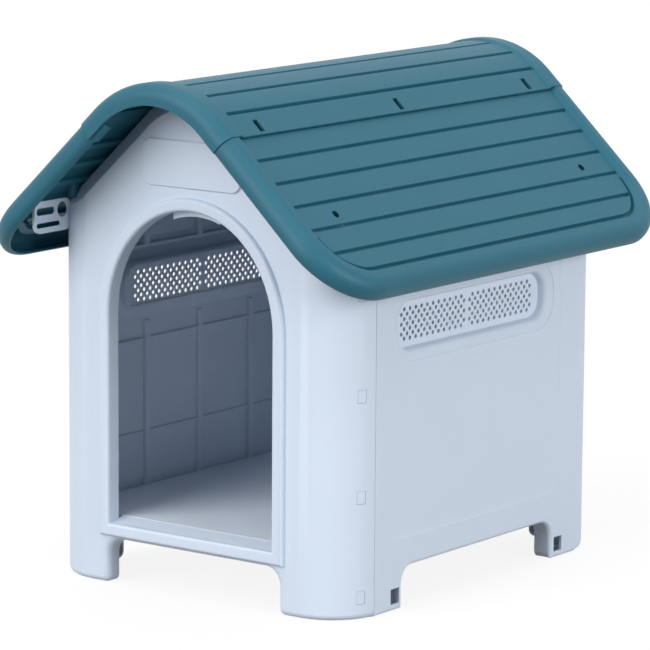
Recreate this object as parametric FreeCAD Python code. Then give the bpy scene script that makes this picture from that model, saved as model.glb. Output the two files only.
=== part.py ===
"""Snap-together plastic dog house: four walls, a floor and a three-piece roof that lifts off."""
import FreeCAD
import Part
import os
from math import cos, degrees, radians, sin, tan

V = FreeCAD.Vector

# Body: +Z up, doorway towards -Y, origin on the ground under the middle of the house
body_width = 477.0
body_depth = 584.0
corner_radius = 71.5
wall = 4.0
seam_inset = 63.6          # from the front face back to the seam between front and side wall
fit_gap = 0.4              # between mouldings that are pushed together
seat_gap = 0.3             # between the roof and the walls that it rests on

# Roof
roof_top = 656.7           # highest plank surface, on the ridge cap
ridge_radius = 138.0
roof_slope = 43.1          # degrees
roof_half_width = 293.5
roof_half_depth = 375.0
roof_corner_radius = 95.0
roof_sheet = 4.0
eave_radius = 20.0
eave_curl = 60.0           # degrees that the eave rolls in past the upright
rim_drop = 27.0            # depth of the front and back rims, square to the slope
rim_rise = 3.3             # rims stand this much above the planks
rim_width = 33.0
plank_pitch = 37.7
plank_groove_width = 3.0
plank_groove_depth = 1.6
plank_groove_end = 41.0    # from the front edge of the roof to the end of a groove
cap_planks = 3             # grooves on each slope of the ridge cap
panel_planks = 5           # grooves on each lower panel
lap_overlap = 20.0         # the panels run this far under the cap
lap_slot_width = 7.0
lap_slot_length = 11.0
lap_slot_inset = 4.0
lap_slot_edge = 82.0       # from the front edge of the roof to the middle of an outer slot
lap_ramp_height = 2.8

# Arm on each upper corner of the end walls, under the roof's overhang; shares are of that overhang
arm_side = 27.5            # from the side of the body to the middle of an arm
arm_reach_share = 0.83
arm_slot_near_share = 0.17
arm_slot_far_share = 0.72
arm_hole_share = 0.12      # radius of the round hole at the root of an arm
arm_height = 41.0
arm_drop = 2.0             # below the underside of the roof
arm_rounding = 12.0
arm_slot_height = 10.0
arm_slot_drop = 11.0       # from the top of an arm to its slot

# Roof fasteners, one near each corner of the body, each in a cup moulded into the roof panel
screw_side = 30.5          # from the side of the body to a fastener
screw_end = 19.0           # from the front or back face to a fastener
screw_head_radius = 3.8
screw_head_height = 2.4
screw_shank_radius = 1.8
screw_length = 16.0
cup_radius = 7.0
cup_wall = 2.4
cup_drop = 4.0             # the cup hangs this far below the panel
boss_wall = 3.0

# Doorway
door_width = 260.0
door_sill = 80.0
door_spring = 363.6        # height where the round arch starts
trim_width = 16.5
trim_height = 7.0          # trim stands this much in front of the wall
jamb_depth = 29.0          # from the front of the trim to the back of the jamb
hanger_width = 74.0
hanger_drop = 8.0

# Name panel on the gable, left blank
name_panel_width = 156.0
name_panel_bottom = 521.5
name_panel_top = 581.0
name_panel_height = 2.5
name_panel_corner = 14.0

# Feet
front_foot_inner = 136.0
side_foot_length = 60.4    # from the seam to the inner edge of a side foot
side_bottom = 52.0
foot_fillet = 22.0
foot_depth = 36.0
foot_window_width = 18.5
foot_window_height = 20.0
foot_window_bottom = 8.5
foot_window_edge = 7.0     # from the inner edge of the foot to the window

# Snap tongues behind the seams
tongue_reach = 34.0
tongue_thickness = 3.0
tongue_top = 420.0
clip_height = 16.0
clip_width = 12.0
clip_setback = 20.6        # from the seam to the middle of a clip
clip_first = 28.0
clip_pitch = 126.5
clip_count = 4

# Side wall field, vent and ribs
field_margin = 40.4        # between the seams and the field's ends, before its shift
field_bottom = 93.0
field_depth = 1.5
field_shift = 10.5         # the field and vent sit off the middle, towards the wall's leading end
vent_shift = 5.0
vent_margin = 52.4         # between the seams and the vent's ends, before its shift
vent_bottom = 312.0
vent_top = 400.0
vent_taper = 22.0          # from the end of the vent's mouth to the end of its bed
vent_floor_height = 58.0
vent_depth = 14.0
hole_radius = 2.4
hole_edge = 10.94          # from the end of the bed to the middle of the outermost hole
hole_row_pitch = 6.2
hole_rows = 7
holes_per_half = 12
rib_height = 5.0
rib_thickness = 4.0
rib_pitch = 112.0
rib_levels = 3
rib_first_level = 156.0
rib_level_pitch = 124.5
flange_width = 26.0

# Back wall
back_field_half_width = 130.0
back_field_bottom = 110.0
back_field_top = 430.0

# Floor
floor_top = 86.0
floor_thickness = 4.0
floor_inset = 16.0         # from the outside of the side walls to the floor's edge
floor_rib_height = 14.0
floor_rib_pitch = 120.0
floor_ribs = 3
ledge_width = 22.0
ledge_height = 6.0

# Derived values
half_width = body_width / 2
half_depth = body_depth / 2
seam_y = half_depth - seam_inset
side_foot_inner = seam_y - side_foot_length
field_half_length = seam_y - field_margin
vent_length = 2 * (seam_y - vent_margin)
vent_floor_length = vent_length - 2 * vent_taper
hole_pitch = (vent_floor_length - 2 * hole_edge) / (2 * holes_per_half - 1)
screw_x = half_width - screw_side
screw_y = half_depth - screw_end
lap_slot_y = roof_half_depth - lap_slot_edge
overhang = roof_half_depth - half_depth
arm_x = half_width - arm_side
slope = radians(roof_slope)
cap_sheet = roof_sheet - fit_gap
ridge_z = roof_top - ridge_radius
panel_offset = roof_sheet
seat_offset = panel_offset + roof_sheet + seat_gap
lap_x = ridge_radius * sin(slope) + ((cap_planks + 0.5) * plank_pitch - ridge_radius * slope) * cos(slope)
far = 2 * (roof_half_depth + roof_half_width + roof_top)
below = -far
past = 1.0                 # cutters run this far past the faces that they cut


def box(x0, x1, y0, y1, z0, z1):
    """Block between two corners."""
    return Part.makeBox(x1 - x0, y1 - y0, z1 - z0, V(x0, y0, z0))


def mirror_x(shape):
    return shape.mirror(V(0, 0, 0), V(1, 0, 0))


def mirror_y(shape):
    return shape.mirror(V(0, 0, 0), V(0, 1, 0))


def turned(shape):
    """Copy turned half round about the upright axis."""
    copy = shape.copy()
    copy.rotate(V(0, 0, 0), V(0, 0, 1), 180)
    return copy


def join(shapes):
    """One solid from pieces that overlap."""
    return shapes[0].multiFuse(shapes[1:]).removeSplitter()


def one_solid(shape):
    """The single solid held by a boolean result."""
    solid = max(shape.Solids, key=lambda item: item.Volume)
    return Part.Solid(solid)


def rounded_rectangle(half_length, half_height, radius):
    """Face in the XY plane, centred on the origin."""
    outline = Part.makePlane(2 * half_length, 2 * half_height, V(-half_length, -half_height, 0))
    block = outline.extrude(V(0, 0, 1))
    uprights = [edge for edge in block.Edges if abs(edge.tangentAt(edge.FirstParameter).z) > 0.9]
    rounded = block.makeFillet(radius, uprights)
    return min(rounded.Faces, key=lambda face: face.CenterOfMass.z)


def upright_slab(face, x0, x1):
    """Extrude a face drawn with its length along Y and its height along Z between two X planes."""
    solid = face.extrude(V(0, 0, x1 - x0))
    solid.rotate(V(0, 0, 0), V(1, 0, 0), 90)
    solid.rotate(V(0, 0, 0), V(0, 0, 1), 90)
    solid.translate(V(x0, 0, 0))
    return solid


def plan_form(offset, z0, z1):
    """Rounded plan of the body, drawn in by an offset."""
    face = rounded_rectangle(half_width - offset, half_depth - offset, corner_radius - offset)
    solid = face.extrude(V(0, 0, z1 - z0))
    solid.translate(V(0, 0, z0))
    return solid


def slope_point(offset, x):
    """Point on a roof slope, the offset measured inwards from the ridge cap's planks."""
    radius = ridge_radius - offset
    start_x = radius * sin(slope)
    start_z = ridge_z + radius * cos(slope)
    return V(x, 0, start_z - (x - start_x) * tan(slope))


def under_slopes(offset, reach, y0, y1, bottom=below):
    """Solid under the ridge curve and the two slopes, out to a half width."""
    radius = ridge_radius - offset
    right = V(radius * sin(slope), y0, ridge_z + radius * cos(slope))
    left = V(-right.x, y0, right.z)
    edge_z = slope_point(offset, reach).z
    arc = Part.Arc(left, V(0, y0, ridge_z + radius), right).toShape()
    corners = [right, V(reach, y0, edge_z), V(reach, y0, bottom)]
    corners += [V(-reach, y0, bottom), V(-reach, y0, edge_z), left]
    wire = Part.Wire([arc] + Part.makePolygon(corners).Edges)
    return Part.Face(wire).extrude(V(0, y1 - y0, 0))


def eave_centre():
    """Centre of the right eave's roll, which is the same for every offset."""
    x = roof_half_width - eave_radius
    z = slope_point(panel_offset + eave_radius, x).z
    return V(x, 0, z)


def under_roof(offset, y0, y1, bottom):
    """Solid under the lower panels with their rolled eaves, the offset measured inwards from their planks."""
    centre = eave_centre()
    radius = eave_radius - offset
    start = V(centre.x + radius * sin(slope), y0, centre.z + radius * cos(slope))
    middle = V(centre.x + radius, y0, centre.z)
    end = V(centre.x + radius * cos(radians(eave_curl)), y0, centre.z - radius * sin(radians(eave_curl)))
    ridge = ridge_radius - panel_offset - offset
    right = V(ridge * sin(slope), y0, ridge_z + ridge * cos(slope))

    def other(point):
        return V(-point.x, point.y, point.z)

    edges = [
        Part.Arc(other(right), V(0, y0, ridge_z + ridge), right).toShape(),
        Part.makeLine(right, start),
        Part.Arc(start, middle, end).toShape(),
    ]
    corners = [end, V(end.x, y0, bottom), V(-end.x, y0, bottom), other(end)]
    edges += Part.makePolygon(corners).Edges
    edges += [
        Part.Arc(other(end), other(middle), other(start)).toShape(),
        Part.makeLine(other(start), other(right)),
    ]
    return Part.Face(Part.Wire(edges)).extrude(V(0, y1 - y0, 0))


def roof_plan(offset, depth):
    """Upright prism over the roof's rounded plan, drawn in sideways by an offset, with its own half depth."""
    face = rounded_rectangle(roof_half_width - offset, depth, roof_corner_radius - offset)
    solid = face.extrude(V(0, 0, 2 * far))
    solid.translate(V(0, 0, -far))
    return solid


def door_prism(grow, y0, y1):
    """Doorway outline, grown all round, between two depths."""
    half = door_width / 2 + grow
    low = door_sill - grow
    right = V(half, y0, door_spring)
    left = V(-half, y0, door_spring)
    arc = Part.Arc(right, V(0, y0, door_spring + half), left).toShape()
    corners = [left, V(-half, y0, low), V(half, y0, low), right]
    return Part.Face(Part.Wire([arc] + Part.makePolygon(corners).Edges)).extrude(V(0, y1 - y0, 0))


def foot_gap_x(reach, top, y0, y1):
    """Space between two feet under a front or back wall, rounded at its upper corners."""
    face = rounded_rectangle(reach, top, min(foot_fillet, top / 2))
    solid = face.extrude(V(0, 0, y1 - y0))
    solid.rotate(V(0, 0, 0), V(1, 0, 0), 90)
    solid.translate(V(0, y1, 0))
    return solid


def foot_gap_y(reach, top, x0, x1):
    """Space between two feet under a side wall."""
    gap = foot_gap_x(reach, top, x0, x1)
    gap.rotate(V(0, 0, 0), V(0, 0, 1), -90)
    return gap


def gable_shell():
    """Front wall's bare shell: face, rounded corners, and a flange under the roof along the top."""
    outer_slopes = under_slopes(seat_offset, half_width, -half_depth, -seam_y)
    inner_slopes = under_slopes(seat_offset + wall, half_width, -half_depth, -seam_y)
    outer = plan_form(0, 0, far).common(outer_slopes)
    inner = plan_form(wall, -past, far).common(inner_slopes)
    return outer.cut(inner)


def clip_levels():
    return [clip_first + index * clip_pitch for index in range(clip_count)]


def clip_heads(grow):
    """Blocks where the clips of one seam, front right, come through the corner; grown for the windows."""
    middle = -seam_y - clip_setback
    reach = clip_width / 2 + grow
    rise = clip_height / 2 + grow
    return [box(corner_start(), far, middle - reach, middle + reach, level - rise, level + rise)
            for level in clip_levels()]


def corner_start():
    """Distance from the middle plane to where the rounded corner begins."""
    return half_width - corner_radius


def end_foot():
    """Sole and inner cheek of the front right foot."""
    y0 = -half_depth
    y1 = -half_depth + foot_depth
    sole = box(front_foot_inner, half_width, y0, y1, 0, wall)
    cheek = box(front_foot_inner, front_foot_inner + wall, y0, y1, 0, door_sill - trim_width)
    return join([sole, cheek]).common(plan_form(wall / 2, 0, far))


def screw_places():
    """Fastener positions above the four body corners."""
    return [V(x, y, 0) for x in (screw_x, -screw_x) for y in (screw_y, -screw_y)]


def cup_bottom():
    """Height of the underside of a fastener's cup."""
    return slope_point(panel_offset + roof_sheet, screw_x + cup_radius).z - cup_drop


def cup_form(place, grow):
    """Upright cylinder of a fastener's cup, grown all round or drawn in for its recess."""
    return Part.makeCylinder(cup_radius + grow, far, V(abs(place.x), place.y, cup_bottom() - grow))


def boss_bottom():
    """Height of the underside of the wall boss below a cup."""
    return cup_bottom() - screw_length


def roof_arm():
    """Upright plate on the front right corner under the roof's overhang, with a slot and a round hole."""
    x0 = arm_x - wall / 2
    x1 = arm_x + wall / 2
    top = slope_point(seat_offset, x1).z - arm_drop
    front = -half_depth - arm_reach_share * overhang
    root = -screw_y + cup_radius + boss_wall
    plate = upright_slab(rounded_rectangle((root - front) / 2, arm_height / 2, arm_rounding), x0, x1)
    plate.translate(V(0, (front + root) / 2, top - arm_height / 2))
    slot_half = (arm_slot_far_share - arm_slot_near_share) * overhang / 2
    slot_y = -half_depth - arm_slot_near_share * overhang - slot_half
    slot_face = rounded_rectangle(slot_half, arm_slot_height / 2, arm_slot_height / 2 - fit_gap)
    slot = upright_slab(slot_face, x0 - past, x1 + past)
    slot.translate(V(0, slot_y, top - arm_slot_drop - arm_slot_height / 2))
    hole_radius_at_root = arm_hole_share * overhang
    hole_start = V(x0 - past, -half_depth, top - wall - hole_radius_at_root)
    hole = Part.makeCylinder(hole_radius_at_root, wall + 2 * past, hole_start, V(1, 0, 0))
    return plate.cut(slot).cut(hole)


def end_wall():
    """Shell, feet, roof arms, clip windows and fastener bosses that the front and back walls share."""
    shell = gable_shell()
    feet = [end_foot(), mirror_x(end_foot())]
    boss = Part.makeCylinder(cup_radius + boss_wall, far, V(screw_x, -screw_y, boss_bottom()))
    room = under_slopes(seat_offset + wall / 2, half_width, -half_depth, -seam_y)
    boss = boss.common(plan_form(wall / 2, 0, far)).common(room)
    arm = roof_arm()
    body = join([shell] + feet + [boss, mirror_x(boss), arm, mirror_x(arm)])
    gap_top = door_sill - trim_width
    cuts = [foot_gap_x(front_foot_inner, gap_top, -half_depth - past, -seam_y + past)]
    windows = clip_heads(fit_gap)
    pocket = cup_form(V(screw_x, -screw_y, 0), fit_gap)
    pilot_start = V(screw_x, -screw_y, boss_bottom() + boss_wall)
    pilot = Part.makeCylinder(screw_shank_radius + seat_gap, far, pilot_start)
    sided = windows + [pocket, pilot]
    cuts += sided + [mirror_x(cut) for cut in sided]
    return body.cut(Part.makeCompound(cuts))


def name_panel():
    """Raised blank panel on the gable."""
    half_height = (name_panel_top - name_panel_bottom) / 2
    face = rounded_rectangle(name_panel_width / 2, half_height, name_panel_corner)
    solid = face.extrude(V(0, 0, name_panel_height + wall / 2))
    solid.rotate(V(0, 0, 0), V(1, 0, 0), 90)
    solid.translate(V(0, -half_depth + wall / 2, name_panel_bottom + half_height))
    return solid


def front_wall():
    """End wall with the doorway, its trim and jamb, and the name panel."""
    face_y = -half_depth
    trim_y = face_y - trim_height
    jamb_y = trim_y + jamb_depth
    body = end_wall().cut(door_prism(0, face_y - past, -seam_y + past))
    trim = door_prism(trim_width, trim_y, face_y + wall / 2)
    jamb = door_prism(wall, trim_y, jamb_y)
    opening = door_prism(0, trim_y - past, jamb_y + past)
    lower_arch = door_prism(-hanger_drop, jamb_y - far, jamb_y + past)
    hanger = door_prism(wall, jamb_y - wall, jamb_y).cut(lower_arch)
    hanger = hanger.common(box(-hanger_width / 2, hanger_width / 2, -far, far, door_spring, far))
    framed = join([body, trim.cut(opening), jamb.cut(opening), name_panel(), hanger])
    return one_solid(framed)


def back_wall():
    """End wall with a plain pressed field, turned to the rear."""
    half_height = (back_field_top - back_field_bottom) / 2
    face = rounded_rectangle(back_field_half_width, half_height, foot_fillet)
    field = face.extrude(V(0, 0, field_depth))
    field.rotate(V(0, 0, 0), V(1, 0, 0), 90)
    field.translate(V(0, -half_depth + field_depth, back_field_bottom + half_height))
    return one_solid(turned(end_wall().cut(field)))


def vent_form(grow, depth):
    """Tapered dish of the vent, from the outer face inwards; grown for the bulge on the inside."""
    mouth_half = (vent_top - vent_bottom) / 2 + grow
    bed_half = vent_floor_height / 2 + grow
    mouth = rounded_rectangle(vent_length / 2 + grow, mouth_half, mouth_half - fit_gap).OuterWire
    bed = rounded_rectangle(vent_floor_length / 2 + grow, bed_half, bed_half - fit_gap).OuterWire
    bed.translate(V(0, 0, -depth))
    dish = Part.makeLoft([bed, mouth], True, True)
    dish.rotate(V(0, 0, 0), V(1, 0, 0), 90)
    dish.rotate(V(0, 0, 0), V(0, 0, 1), 90)
    dish.translate(V(half_width, -vent_shift, (vent_top + vent_bottom) / 2))
    return dish


def vent_holes():
    """Staggered round holes through the vent's bed, with the middle column left plain."""
    holes = []
    middle_z = (vent_top + vent_bottom) / 2
    for row in range(hole_rows):
        z = middle_z + (row - (hole_rows - 1) / 2) * hole_row_pitch
        staggered = row % 2
        for column in range(holes_per_half - 1 + staggered):
            reach = (column + 1 - staggered / 2) * hole_pitch
            for y in (-reach, reach):
                start = V(half_width - far, y - vent_shift, z)
                holes.append(Part.makeCylinder(hole_radius, far, start, V(1, 0, 0)))
    return holes


def tongue():
    """Strip behind the front seam of the right wall, with its clip heads."""
    y0 = -seam_y - tongue_reach
    y1 = -seam_y + tongue_reach / 2
    low = clip_first - clip_height
    band = box(corner_start(), half_width, y0, y1, low, tongue_top)
    lip_offset = wall + fit_gap
    back_offset = lip_offset + tongue_thickness
    lip = plan_form(lip_offset, 0, far).cut(plan_form(back_offset, 0, far)).common(band)
    root = box(half_width - back_offset, half_width - wall / 2, -seam_y + fit_gap, y1, low, tongue_top)
    ring = plan_form(fit_gap, 0, far).cut(plan_form(wall + fit_gap + tongue_thickness / 2, 0, far))
    heads = [ring.common(head) for head in clip_heads(0)]
    return join([lip, root] + heads)


def side_ribs():
    """Upright and level ribs on the inner face, clear of the seam tongues."""
    x1 = half_width - wall / 2
    x0 = half_width - wall - rib_height
    end_y = seam_y - tongue_reach / 2
    top = slope_point(seat_offset + wall / 2, half_width).z
    ribs = []
    for index in (-1, 0, 1):
        y = index * rib_pitch - vent_shift
        ribs.append(box(x0, x1, y - rib_thickness / 2, y + rib_thickness / 2, side_bottom, top))
    for index in range(rib_levels):
        z = rib_first_level + index * rib_level_pitch
        ribs.append(box(x0, x1, -end_y, end_y, z - rib_thickness / 2, z + rib_thickness / 2))
    return ribs


def side_flange():
    """Flange along the top edge, under the roof slope."""
    outer = under_slopes(seat_offset, half_width, -seam_y + fit_gap, seam_y - fit_gap)
    inner = under_slopes(seat_offset + wall, half_width + past, -seam_y, seam_y)
    strip = box(half_width - flange_width, half_width, -seam_y, seam_y, 0, far)
    return outer.cut(inner).common(strip)


def side_foot():
    """Sole and cheek of one foot, at the front of the right wall."""
    y0 = -seam_y + fit_gap
    y1 = -side_foot_inner
    sole = box(half_width - foot_depth, half_width, y0, y1, 0, wall)
    cheek = box(half_width - foot_depth, half_width, y1 - wall, y1, 0, side_bottom)
    return join([sole, cheek])


def side_wall():
    """Right wall: plate, tongues, flange, ribs, feet, ledge, field, vent and windows."""
    end_y = seam_y - fit_gap
    top = slope_point(seat_offset + wall / 2, half_width).z
    plate = box(half_width - wall, half_width, -end_y, end_y, 0, top)
    plate = plate.common(under_slopes(seat_offset, half_width + past, -far, far))
    gap = foot_gap_y(side_foot_inner, side_bottom, half_width - 2 * foot_depth, half_width + past)
    plate = plate.cut(gap)
    bulge = vent_form(wall, vent_depth + wall)
    ledge_top = floor_top - floor_thickness
    ledge = box(half_width - ledge_width, half_width - wall / 2, -side_foot_inner, side_foot_inner,
                ledge_top - ledge_height, ledge_top)
    inside = box(0, half_width, -far, far, 0, far)
    pieces = [plate, tongue(), mirror_y(tongue()), side_flange(), bulge.common(inside), ledge]
    pieces += side_ribs() + [side_foot(), mirror_y(side_foot())]
    body = join(pieces)
    field_face = rounded_rectangle(field_half_length, (vent_top - field_bottom) / 2, foot_fillet / 2)
    field = upright_slab(field_face, half_width - field_depth, half_width + past)
    field.translate(V(0, -field_shift, (vent_top + field_bottom) / 2))
    window_y = side_foot_inner + foot_window_edge
    window = box(half_width - 2 * wall, half_width + past, -window_y - foot_window_width, -window_y,
                 foot_window_bottom, foot_window_bottom + foot_window_height)
    cuts = [field, vent_form(0, vent_depth), window, mirror_y(window)] + vent_holes()
    return one_solid(body.cut(Part.makeCompound(cuts)))


def floor_panel():
    """Floor plate with ribs below and a lip behind the sill, resting on the side walls' ledges."""
    reach_x = half_width - floor_inset
    reach_y = half_depth + trim_height - jamb_depth - fit_gap
    face = rounded_rectangle(reach_x, reach_y, corner_radius - floor_inset)
    plate = face.extrude(V(0, 0, floor_thickness))
    plate.translate(V(0, 0, floor_top - floor_thickness))
    rib_reach_x = half_width - ledge_width - wall
    low = floor_top - floor_thickness - floor_rib_height
    high = floor_top - floor_thickness / 2
    ribs = []
    for index in range(floor_ribs):
        y = (index - (floor_ribs - 1) / 2) * floor_rib_pitch
        ribs.append(box(-rib_reach_x, rib_reach_x, y - wall / 2, y + wall / 2, low, high))
    ribs.append(box(-wall / 2, wall / 2, -reach_y + corner_radius, reach_y - corner_radius, low, high))
    lip = box(-door_width / 2, door_width / 2, -reach_y, -reach_y + wall, low, high)
    return one_solid(join([plate, lip, mirror_y(lip)] + ribs))


def plank_groove(index, offset):
    """Shallow groove along the roof at a plank edge of the right slope; index 0 is next to the ridge."""
    along = (index + 0.5) * plank_pitch
    radius = ridge_radius - offset
    reach = roof_half_depth - plank_groove_end
    half = plank_groove_width / 2
    cutter = box(-half, half, -reach, reach, -plank_groove_depth, roof_sheet)
    turn = min(along / ridge_radius, slope)
    run = along - turn * ridge_radius
    cutter.rotate(V(0, 0, 0), V(0, 1, 0), degrees(turn))
    x = radius * sin(turn) + run * cos(turn)
    z = ridge_z + radius * cos(turn) - run * sin(turn)
    cutter.translate(V(x, 0, z))
    return cutter


def roof_shell(offset, plan_offset, sheet):
    """Roof sheet with its rims, the offset measured inwards from the lower panels' surface."""
    depth = roof_half_depth - plan_offset
    outer = under_roof(offset - rim_rise, -far, far, below).common(roof_plan(offset, depth))
    field_depth_y = roof_half_depth - rim_width
    above = under_roof(offset - 2 * rim_rise, -field_depth_y, field_depth_y, below)
    above = above.cut(under_roof(offset, -far, far, below))
    inner = under_roof(offset + sheet, -far, far, below).common(roof_plan(offset + sheet, depth - sheet))
    under_rim = under_slopes(offset + panel_offset + rim_drop, eave_centre().x - sheet, -far, far)
    lowest = eave_centre().z - eave_radius * sin(radians(eave_curl))
    return outer.cut(above).cut(inner).cut(under_rim).common(box(-far, far, -far, far, lowest, far))


def lap_slot(y, grow, z_low, z_high):
    """Block along the right slope at one lap slot, between two heights square to the slope."""
    half = lap_slot_width / 2 + grow
    block = box(-lap_slot_length - grow, grow, y - half, y + half, z_low, z_high)
    block.translate(V(-lap_slot_inset, 0, 0))
    block.rotate(V(0, 0, 0), V(0, 1, 0), roof_slope)
    lap = slope_point(0, lap_x)
    block.translate(lap)
    return block


def lap_slot_ys():
    return (-lap_slot_y, 0, lap_slot_y)


def roof_ridge_cap():
    """Rounded ridge with its own rims, lapped over both panels."""
    shell = roof_shell(-panel_offset, 0, cap_sheet)
    strip = box(-lap_x, lap_x, -far, far, 0, far)
    cap = shell.common(strip)
    slots = [lap_slot(y, 0, -2 * roof_sheet, 2 * roof_sheet) for y in lap_slot_ys()]
    grooves = [plank_groove(index, 0) for index in range(cap_planks)]
    cuts = slots + grooves + [mirror_x(cut) for cut in slots + grooves]
    return one_solid(cap.cut(Part.makeCompound(cuts)))


def roof_right_panel():
    """Lower roof panel with rolled eave and rims, hook ramps at the lap and holes for the fasteners."""
    shell = roof_shell(0, cap_sheet + fit_gap, roof_sheet)
    start = lap_x - lap_overlap * cos(slope)
    lap_room = box(0, lap_x + fit_gap, -far, far, 0, far).cut(under_roof(0, -far, far, below))
    panel = shell.common(box(start, far, -far, far, 0, far)).cut(lap_room)
    places = [place for place in screw_places() if place.x > 0]
    below_planks = under_slopes(panel_offset, far, -far, far)
    cups = [cup_form(place, 0).common(below_planks) for place in places]
    ramps = [lap_slot(y, -fit_gap, -roof_sheet - roof_sheet / 2, lap_ramp_height - roof_sheet)
             for y in lap_slot_ys()]
    panel = join([panel] + ramps + cups)
    first = cap_planks + 1
    cuts = [plank_groove(index, panel_offset) for index in range(first, first + panel_planks)]
    cuts += [cup_form(place, -cup_wall) for place in places]
    cuts += [Part.makeCylinder(screw_shank_radius + seat_gap, far, place) for place in places]
    return one_solid(panel.cut(Part.makeCompound(cuts)))


def roof_screws():
    """Four pan-head fasteners seated in the roof panels' cups."""
    screws = []
    tip = cup_bottom() - screw_length + 2 * boss_wall
    seat = cup_bottom() + cup_wall
    for place in screw_places():
        head = Part.makeCylinder(screw_head_radius, screw_head_height, V(place.x, place.y, seat))
        shank = Part.makeCylinder(screw_shank_radius, seat - tip, V(place.x, place.y, tip))
        screws.append(join([head, shank]))
    return Part.makeCompound(screws)


def main():
    os.makedirs("parts", exist_ok=True)
    right = side_wall()
    right_panel = roof_right_panel()
    nodes = {
        "front_wall": front_wall(),
        "back_wall": back_wall(),
        "right_wall": right,
        "left_wall": turned(right),
        "floor_panel": floor_panel(),
        "roof_ridge_cap": roof_ridge_cap(),
        "roof_right_panel": right_panel,
        "roof_left_panel": turned(right_panel),
        "roof_screws": roof_screws(),
    }
    for name, shape in nodes.items():
        shape.exportStep("parts/" + name + ".step")
        bounds = shape.BoundBox
        print(name, len(shape.Solids), shape.isValid(), round(shape.Volume / 1000), "cm3",
              [round(value, 1) for value in (bounds.XMin, bounds.XMax, bounds.YMin, bounds.YMax,
                                             bounds.ZMin, bounds.ZMax)])


main()
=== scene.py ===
import math

import bmesh
import bpy
from mathutils import Matrix, Vector


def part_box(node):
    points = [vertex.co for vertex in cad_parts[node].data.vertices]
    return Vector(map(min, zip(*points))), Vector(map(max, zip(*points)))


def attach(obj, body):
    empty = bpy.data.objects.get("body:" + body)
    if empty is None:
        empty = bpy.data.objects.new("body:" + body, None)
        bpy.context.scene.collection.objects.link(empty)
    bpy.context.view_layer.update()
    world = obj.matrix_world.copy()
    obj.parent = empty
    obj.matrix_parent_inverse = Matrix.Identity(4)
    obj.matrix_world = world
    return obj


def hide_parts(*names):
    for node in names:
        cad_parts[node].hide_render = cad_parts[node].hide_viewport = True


bl_info = {
    "name": "Moulded dog house",
    "version": (1, 0, 0),
    "blender": (4, 5, 0),
    "location": "View3D > Sidebar > Dog house",
    "description": "Shapes and finishes the walls, roof, fasteners and studio of a snap-together dog house",
    "category": "Object",
}

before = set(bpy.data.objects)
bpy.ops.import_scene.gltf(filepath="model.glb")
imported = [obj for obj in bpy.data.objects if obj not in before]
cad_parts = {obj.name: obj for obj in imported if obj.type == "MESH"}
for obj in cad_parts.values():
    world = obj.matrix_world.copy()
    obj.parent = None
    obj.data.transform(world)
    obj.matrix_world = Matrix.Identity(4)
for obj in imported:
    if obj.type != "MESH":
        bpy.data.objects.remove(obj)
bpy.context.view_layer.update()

MM = 0.001
NEAR = 0.2 * MM            # two places closer than this count as the same
SHARP = math.radians(30)   # edges sharper than this are corners of the moulding
MOSTLY = 0.9               # least share of a normal along an axis, for a face that looks that way
FLAT = 0.999               # the same for a face that lies square to the axis
X, Y, Z = range(3)
FACING_FRONT = (math.pi / 2, 0, 0)
FACING_SIDE = (math.pi / 2, 0, math.pi / 2)
LYING_ALONG_X = (0, math.pi / 2, 0)
HALF_TURN = Matrix.Rotation(math.pi, 4, "Z")
COLOUR_A = 6               # sockets of a colour mix node
COLOUR_B = 7
COLOUR_RESULT = 2

FIT = 0.4 * MM             # gap between mouldings that slide together
SEAM_INSET = 63.6 * MM     # from a corner seam to the end wall's face
TRIM_STAND = 7 * MM        # the doorway's trim stands this far off the wall
CLIP_WIDTH = 12 * MM       # of the snap clips along the seams
CLIP_HEIGHT = 16 * MM
VENT_Y = -9 * MM           # middle of the right wall's vent
VENT_Z = 356 * MM
SLOT_LENGTH = 19 * MM      # of the cap's lap slots, down the slope
SPARE = 150 * MM           # extra length of a roof sheet, cut off with its rim
GROOVE_FLANK = 0.9 * MM    # width of a plank groove's sloped side
SCREW_HEAD = 3.8 * MM      # radius of a roof screw's head
SCREW_HEIGHT = 2.4 * MM    # height of that head

body_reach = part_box("right_wall")[1].x
seam_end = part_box("back_wall")[0].y
front_y = -seam_end - SEAM_INSET
front_trim_y = front_y - TRIM_STAND
cap_reach_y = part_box("roof_ridge_cap")[1].y
screw_low, screw_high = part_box("roof_screws")
screw_x = screw_high.x - SCREW_HEAD
screw_y = screw_high.y - SCREW_HEAD
screw_seat = screw_high.z - SCREW_HEIGHT


def length(name, description, default):
    """Length property in metres."""
    return bpy.props.FloatProperty(
        name=name, description=description, default=default, min=0, unit="LENGTH", precision=4)


def linear(code):
    """Linear RGB of an sRGB hex colour."""
    channels = [int(code[place:place + 2], 16) / 255 for place in (1, 3, 5)]
    return [value / 12.92 if value <= 0.04045 else ((value + 0.055) / 1.055) ** 2.4 for value in channels]


def colour(name, description, code):
    """Colour property with an sRGB hex default."""
    return bpy.props.FloatVectorProperty(
        name=name, description=description, subtype="COLOR", size=3, min=0, max=1, default=linear(code))


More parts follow.
